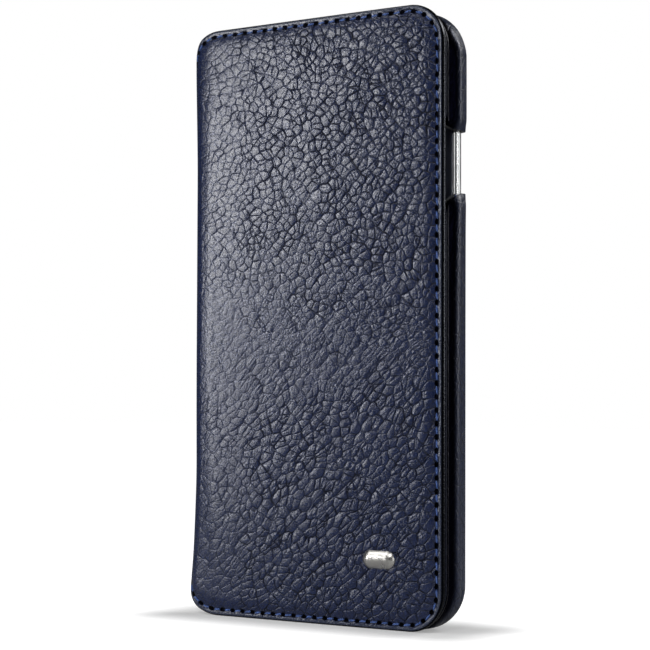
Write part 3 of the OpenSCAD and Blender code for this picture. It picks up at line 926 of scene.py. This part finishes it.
back_steps = steps([S_MID], spread(S_BACK, S_TAB, 0.4), spread(S_TAB, S_END - TAB_R, 2.5),
                   [S_END - TAB_R + TAB_R * math.sin(math.radians(9 * i)) for i in range(11)],
                   [S_END - x for x in EDGE_STEPS if x < 3])
flap_back = to_object("flap_back", sheet(back_steps, rows(EDGE_STEPS, 40), flap_place, cover_face,
                                         lambda s, z: LEATHER_T, bend_flap, FLAP_VALUES))
dress(flap_back, COVER_LEATHER)
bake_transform(flap_back)
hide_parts("hinge_tab")

lining_edges = [x for x in EDGE_STEPS if x < 7]
lining_steps = steps([LINING_IN + x for x in lining_edges], [LINING_IN + x for x in TURN_STEPS if x < 10],
                     spread(CORNER_R, S_ROLL - 4, 6), spread(S_ROLL - 4, S_SPINE, 0.45),
                     ROLL_STEPS, [S_BACK - 0.3, S_BACK - 0.1, S_BACK])
flap_lining = to_object("flap_lining", sheet(lining_steps, rows(lining_edges, 30), lining_place, lining_face,
                                             lambda s, z: cover_inside(s, z) + 0.02, bend_flap,
                                             {"edge": lining_edge}))
dress(flap_lining, LINING_LEATHER)
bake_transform(flap_lining)
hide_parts("cover_lining", "spine_lining")


# Stitches

def add_stitch(bm, at, direction, up, slant):
    """One slim drop of thread that dives into the leather at both ends."""
    side = up.cross(direction).normalized()
    forward = (direction.normalized() * math.cos(slant) + side * math.sin(slant)).normalized()
    side = up.cross(forward).normalized()
    half = (side * THREAD_W / 2, up * THREAD_H / 2, forward * SEAM_PITCH * THREAD_SHARE / 2)
    bmesh.ops.create_uvsphere(bm, u_segments=8, v_segments=7, radius=1.0, calc_uvs=True,
                              matrix=Matrix.Translation(at) @ Matrix(half).transposed().to_4x4())


def flap_stitches(name, depth, facing):
    """A line of stitches at the given depth, facing 1 to the front or -1 to the back."""
    bm = bmesh.new()
    bm.loops.layers.uv.new("stitch")

    def at_run(run):
        s, z = seam_point(run)
        return bend_flap(s, depth(s, z), z)

    for k in range(SEAM_COUNT):
        run = (k + 0.5) * SEAM_PITCH
        s, z = seam_point(run)
        at = at_run(run)
        up = (bend_flap(s, depth(s, z) - 0.1 * facing, z) - at).normalized()
        add_stitch(bm, at, at_run(run + 0.3) - at_run(run - 0.3), up, THREAD_SLANT * facing)
    made = to_object(name, bm)
    dress(made, THREAD)
    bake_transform(made)


flap_stitches("cover_stitches", lambda s, z: cover_face(s, z) + THREAD_SUNK, 1)
flap_stitches("lining_stitches", lambda s, z: cover_inside(s, z) + LINING_T - LINING_THREAD_SUNK, -1)


# Pockets

def pocket(name, node, z0, z1, r, d0, d1):
    """A pocket sheet: its mouth faces the spine and has a thumb notch, its far corners are round."""
    x0, middle = box_mm(node)[0].x, (z0 + z1) / 2
    length = POCKET_X1 - x0

    def mouth(z):
        return x0 + max(0.0, THUMB_D - corner_drop(min(abs(z - middle), THUMB_R), THUMB_R))

    def end_drop(x):
        return corner_drop(min(r, max(0.0, x - POCKET_X1 + r)), r)

    def place(u, row):
        share, inset = row
        drop = end_drop(x0 + u * length)
        z = (1 - share) * (z0 + drop + inset) + share * (z1 - drop - inset)
        return mouth(z) + u * (POCKET_X1 - mouth(z)), z

    def edge(x, z):
        return max(0.0, min(x - mouth(z), POCKET_X1 - x, z - z0 - end_drop(x), z1 - end_drop(x) - z))

    def face(x, z):
        e = edge(x, z)
        return d1 - rounding(e, POCKET_EDGE_R) - POCKET_LINE * bell(e - POCKET_LINE_IN, POCKET_LINE_W)

    us = steps([x / length for x in (0, 0.08, 0.2, 0.4, 0.8, 1.3)], even(8),
               [1 - r * (1 - math.sin(math.radians(9 * i))) / length for i in range(11)],
               [1 - x / length for x in (0, 0.08, 0.2, 0.4)])
    vs = rows([0, 0.08, 0.2, 0.4, 0.9, 1.6, 3, 5], 60)
    made = to_object(name, sheet(us, vs, place, face, lambda x, z: d0,
                                 lambda x, o, z: Vector((x, Y_FRONT + o, z)), {"edge": edge}))
    dress(made, POCKET_LEATHER)
    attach(made, "cover")
    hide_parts(node)


pocket("bill_pocket_leather", "bill_pocket", BILL_IN, WALL_H - BILL_IN, WALL_R - BILL_IN, D_BILL, D_CARDS)
for i in (1, 2, 3):
    pocket(f"card_leather_{i}", f"card_pocket_{i}", BAY_Z - CARD_H / 2, BAY_Z + CARD_H / 2, CARD_R,
           D_CARDS + CARD_T * (i - 1), D_CARDS + CARD_T * i)


# Cutters for the holder's openings

STADIUM = columns([[0]] * 4, 16)


def stadium(w, h, x, z):
    """Outline with round ends, its middle at x and z."""
    return x - w / 2, x + w / 2, z - h / 2, z + h / 2, h / 2 - 0.001


def cutter(name, outline, reach, axes=None, cols=STADIUM):
    """Body of one outline that reaches between two places along its axis."""
    return to_object(name, wrap(cols, [ring(outline, 0.0, end) for end in reach], axes))


def volume_cutter():
    return cutter("volume_cutter", stadium(VOLUME_W, SLOT_H, VOLUME_Z, D_SLOT), VOLUME_REACH,
                  lambda z, x, d: (x, Y_FRONT + d, z))


def port_cutter():
    return cutter("port_cutter", stadium(PORT_W, SLOT_H, BAY_X, D_SLOT), PORT_REACH,
                  lambda x, z, d: (x, Y_FRONT + d, z))


def camera_cutter(grow):
    return cutter("camera_cutter", stadium(CAMERA_W + 2 * grow, CAMERA_H + 2 * grow, CAMERA_X, CAMERA_Z),
                  CAMERA_REACH)


def tab_cutter():
    outline = (X_LEFT - 8, X_LEFT + ROLL_R + TAB_LEN + TAB_GAP,
               CORNER_R - TAB_GAP, HEIGHT - CORNER_R + TAB_GAP, TAB_R)
    return cutter("tab_cutter", outline, (DEPTH - LEATHER_T - TAB_BED, TAB_REACH), cols=columns([[0]] * 4, 8))


def key_cutter(d_end):
    """Cuts the side opening down to the depth d_end, rounded into the rim at both ends."""
    arc = [math.radians(7.5 * i) for i in range(13)]
    low = [(KEY_Z0 - KEY_LOW_R * (1 - math.sin(a)), D_RIM + KEY_LOW_R * (1 - math.cos(a))) for a in arc]
    high = [(KEY_Z1 + KEY_HIGH_R * (1 - math.sin(a)), D_RIM + KEY_HIGH_R * (1 - math.cos(a))) for a in arc]
    stops = low + [(KEY_Z0 + 0.002, d_end), (KEY_Z1 - 0.002, d_end)] + high[::-1]
    stops = [(z, min(d, d_end)) for z, d in stops]
    bm = sheet(stops, [0, 1], lambda stop, t: (stop[0], (1 - t) * (D_RIM - 3) + t * stop[1]),
               lambda z, d: WX1 + 4, lambda z, d: WX1 - BACK_R - 1,
               lambda z, x, d: Vector((x, Y_FRONT + d, z)))
    return to_object("key_cutter", bm)


# The holder: moulded leather, clear shell, rim and bay lining

def lip(o):
    """The leaning stretch of the wall, o below its outer face, from the wall to the rim."""
    return [ring(WALL_OUTLINE, LIP_R * (1 - math.cos(a)) + o, D_WALL + LIP_LEN - LIP_R * math.sin(a))
            for a in [LIP_A * k / 7 for k in range(8)]]


def turn_to_back(o):
    """The round back edge of the wall, o below its outer face."""
    return [ring(WALL_OUTLINE, BACK_R - (BACK_R - o) * math.cos(a), D_BACK + (BACK_R - o) * math.sin(a))
            for a in [math.radians(9 * k) for k in range(11)]]


def key_gap(z, d):
    """Distance of a point of the right wall from the side cut-out."""
    if z < (KEY_Z0 + KEY_Z1) / 2:
        r, away = KEY_LOW_R, KEY_Z0 - z
    else:
        r, away = KEY_HIGH_R, z - KEY_Z1
    if away < r and d < D_RIM + r:
        return r - math.hypot(r - away, d - D_RIM - r)
    return away


def settle_wall(skin):
    """Draws the leather in towards the ends of the side cut-out and lets the right wall swell and bow."""
    for v in skin.data.vertices:
        x, d, z = v.co.x, v.co.y - Y_FRONT, v.co.z
        if d <= D_WALL + 0.01:
            continue
        outer = smooth(x, *OUTER_FACE)
        thin = max(0.0, 1 - max(0.0, key_gap(z, d)) / KEY_DRAW_W) ** 2
        swell = WALL_SWELL * smooth(z, *SWELL_RISE) * (1 - smooth(z, *SWELL_FALL))
        bow = WALL_BOW * min(1.0, max(0.0, (d - BOW_FROM) / (BOW_TO - BOW_FROM))) ** 2
        v.co.x += outer * (swell - KEY_DRAW * thin - bow)


def holder_piece(name, bm, cutters, finish, node, soften=None, sharp=35):
    """A piece of the holder, with its openings cut."""
    made = cut(to_object(name, bm), *cutters)
    if soften:
        soften(made)
    dress(made, finish, sharp)
    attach(made, "holder")
    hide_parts(node)


KEY_STEPS = (0, 0.8, 1.6, 2.4, 3.2, 4, 5, 6, 7, 8.5, 12)
right_side = steps(spread(WALL_R, WALL_H - WALL_R, 6.0), [KEY_Z0 - x for x in KEY_STEPS],
                   [KEY_Z1 + x for x in KEY_STEPS])
right_side = [(z - WALL_R) / (WALL_H - 2 * WALL_R) for z in right_side]
WALL_COLUMNS = columns([right_side, even(10), even(20), even(10)], 14)

skin_rings = (turn_to_back(0)[::-1] + [ring(WALL_OUTLINE, 0, d) for d in (9.5, 9.0, 8.5, 8.0)] + lip(0)
              + rounded_edge(RIM_OUTLINE, FLANGE_EDGE_R, D_WALL, -FLANGE_EDGE_R, FLANGE_MIDDLE)[::-1]
              + rounded_edge(RIM_OUTLINE, FLANGE_EDGE_R, D_FLANGE, FLANGE_EDGE_R, FLANGE_MIDDLE)
              + [ring(RIM_OPENING, -OPENING_EDGE_R, D_FLANGE),
                 ring(RIM_OPENING, 0, D_FLANGE + OPENING_EDGE_R), ring(RIM_OPENING, 0, D_WALL)]
              + lip(SKIN_T)[::-1] + turn_to_back(SKIN_T))
holder_piece("holder_leather", wrap(WALL_COLUMNS, skin_rings),
             (key_cutter(D_THROUGH), volume_cutter(), port_cutter(), camera_cutter(CAMERA_EASE),
              tab_cutter()),
             WALL_LEATHER, "holder_skin", settle_wall)

SHELL_IN = LIP_IN + WALL_IN
shell_rings = (turn_to_back(SKIN_T + GLUE)[::-1] + lip(SKIN_T + GLUE)
               + [ring(WALL_OUTLINE, SHELL_IN - OPENING_EDGE_R, D_WALL + GLUE),
                  ring(WALL_OUTLINE, SHELL_IN, D_WALL + OPENING_EDGE_R)]
               + lip(WALL_IN)[-2::-1] + turn_to_back(WALL_IN))
holder_piece("clear_shell", wrap(WALL_COLUMNS, shell_rings),
             (key_cutter(SILL_D), volume_cutter(), port_cutter(), camera_cutter(0)),
             CLEAR, "holder_shell")

rim_rings = (rounded_edge(RIM_OUTLINE, FRONT_EDGE_R, D_RIM, FRONT_EDGE_R, FRONT_MIDDLE)
             + rounded_edge(RIM_OPENING, -FRONT_EDGE_R, D_RIM, FRONT_EDGE_R, FRONT_MIDDLE)[::-1]
             + [ring(RIM_OPENING, 0, D_RIM_BACK)]
             + rounded_edge(RIM_OUTLINE, FLANGE_EDGE_R, D_RIM_BACK, -FLANGE_EDGE_R, FLANGE_MIDDLE)[::-1])
holder_piece("rim_leather", wrap(WALL_COLUMNS, rim_rings, closed=True), (key_cutter(D_THROUGH),),
             RIM_LEATHER, "rim_frame")

felt_rings = [ring(WALL_OUTLINE, FELT_IN + inset, D_FELT + rise) for inset, rise in FELT_EDGE]
holder_piece("bay_lining", wrap(columns([even(4)] * 4, 10), felt_rings), (camera_cutter(CAMERA_EASE),),
             MICROFIBRE, "holder_lining", sharp=40)


# The badge

def dome(inset):
    """Depth of the badge's domed face, at inset from its outline."""
    return DOME_R - BADGE_RISE - math.sqrt(DOME_R ** 2 - (BADGE_H / 2 - inset) ** 2)


badge_outline = stadium(BADGE_W, BADGE_H, X_RIGHT - BADGE_IN, BADGE_Z)
badge_rings = [ring(badge_outline, 0.25, 0.3), ring(badge_outline, 0.03, 0.15), ring(badge_outline, 0, 0.0)]
badge_rings += [ring(badge_outline, x, dome(x))
                for x in (0.05, 0.15, 0.35, 0.6, 0.9, 1.2, 1.5, 1.8, 2.1, 2.3)]
domed_badge = to_object("domed_badge", wrap(columns([even(4), [0], even(4), [0]], 12), badge_rings))
dress(domed_badge, BRIGHT_METAL, 50)
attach(domed_badge, "cover")
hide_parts("badge")


# Hidden pieces, which keep their own meshes

for name, finish in (("keeper_lower", STEEL), ("keeper_upper", STEEL), ("magnet_lower", STEEL),
                     ("magnet_upper", STEEL), ("badge_clip", STEEL), ("cover_board", BOARD)):
    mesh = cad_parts[name].data
    mesh.materials.clear()
    mesh.materials.append(finish)


# Stage, in metres

FLOOR_HALF, SHADOW_MARGIN = 3.0, 0.024
AMBIENT, GLOSS_CUT = 0.12, 0.08


def studio_world():
    """White for the camera and through the clear shell, dim for diffuse light and dimmer in gloss."""
    scene = bpy.context.scene
    scene.view_settings.view_transform = "Standard"
    scene.world = bpy.data.worlds.new("studio")
    scene.world.use_nodes = True
    tree = scene.world.node_tree
    path = wire(tree, "LightPath").outputs
    seen = highest(tree, path["Is Camera Ray"], path["Is Transmission Ray"])
    dim = less(tree, AMBIENT, product(tree, path["Is Glossy Ray"], GLOSS_CUT))
    feed(tree, tree.nodes["Background"], {"Color": (1, 1, 1, 1), "Strength": highest(tree, seen, dim)})


def pale_floor():
    """White all round for the camera, apart from a narrow margin that keeps the contact shadow."""
    bm = bmesh.new()
    bmesh.ops.create_grid(bm, x_segments=8, y_segments=8, size=FLOOR_HALF)
    floor = to_object("floor", bm)
    made, tree, shader = new_material("pale_floor")
    spot = vector_node(tree, "ABSOLUTE", wire(tree, "TexCoord").outputs["Object"])
    spot = vector_node(tree, "SUBTRACT", spot, (cad_high.x, cad_high.y, 0))
    spot = vector_node(tree, "MAXIMUM", spot, (0, 0, 0))
    far = vector_node(tree, "LENGTH", spot, output="Value")
    lift = ramp(tree, far, 0.0, SHADOW_MARGIN, 0.30, 1.0)
    camera_ray = wire(tree, "LightPath").outputs["Is Camera Ray"]
    feed(tree, shader, {"Base Color": (0.5, 0.5, 0.5, 1), "Roughness": 0.9, "Emission Color": (1, 1, 1, 1),
                        "Emission Strength": product(tree, camera_ray, lift)})
    floor.data.materials.append(made)


def lamp(name, place, aim, size, power, cone=180, lean=0):
    """Soft lamp aimed at a point, its light kept within a cone and its frame leaning, both in degrees."""
    data = bpy.data.lights.new(name, "AREA")
    data.shape, data.energy, data.spread = "RECTANGLE", power, math.radians(cone)
    data.size, data.size_y = size
    made = bpy.data.objects.new(name, data)
    made.location = place
    turn = (Vector(aim) - Vector(place)).to_track_quat("-Z", "Y")
    made.rotation_euler = (turn @ Quaternion((0, 0, 1), math.radians(lean))).to_euler()
    made.visible_camera = False
    bpy.context.scene.collection.objects.link(made)


def studio_lamps():
    front, right = (0, 0, 0.08), (0.04, 0, 0.08)
    lamp("sheen_softbox", (-0.283, -0.315, 0.165), (-0.02, 0, 0.1), (0.06, 0.22), 0.053, 50, -33)
    lamp("low_softbox", (-0.33, -0.32, 0.04), (-0.02, 0, 0.03), (0.10, 0.05), 0.012, 50)
    lamp("front_softbox", (0.25, -0.75, 0.80), front, (0.5, 0.5), 0.21, 35)
    lamp("edge_strip", (0.65, -0.46, 0.12), right, (0.10, 0.40), 0.45)
    lamp("top_softbox", (-0.45, -0.50, 0.85), front, (0.5, 0.5), 0.15, 35)
    lamp("side_strip", (0.55, 0.72, 0.20), right, (0.05, 0.32), 0.95)
    lamp("back_softbox", (0.50, 0.95, 0.75), front, (0.6, 0.6), 0.5, 35)


def photo_camera():
    """Camera at the photograph's view: turned 35.5 degrees to the right, close to the floor."""
    turn, pitch, roll = math.radians(35.513), math.radians(2.148), math.radians(0.187)
    eye = Vector((0.30895, -0.43248, 0.06093))
    ahead = Vector((-math.sin(turn) * math.cos(pitch), math.cos(turn) * math.cos(pitch), math.sin(pitch)))
    side = ahead.cross(Vector((0, 0, 1))).normalized()
    up = side.cross(ahead)
    side = side * math.cos(roll) + up * math.sin(roll)
    up = side.cross(ahead)
    data = bpy.data.cameras.new("photo_camera")
    data.sensor_width, data.lens = 36.0, 107.47
    data.clip_start, data.clip_end = 0.01, 50.0
    camera = bpy.data.objects.new("photo_camera", data)
    camera.matrix_world = Matrix.Translation(eye) @ Matrix((side, up, -ahead)).transposed().to_4x4()
    bpy.context.scene.collection.objects.link(camera)
    bpy.context.scene.camera = camera


studio_world()
pale_floor()
studio_lamps()
photo_camera()
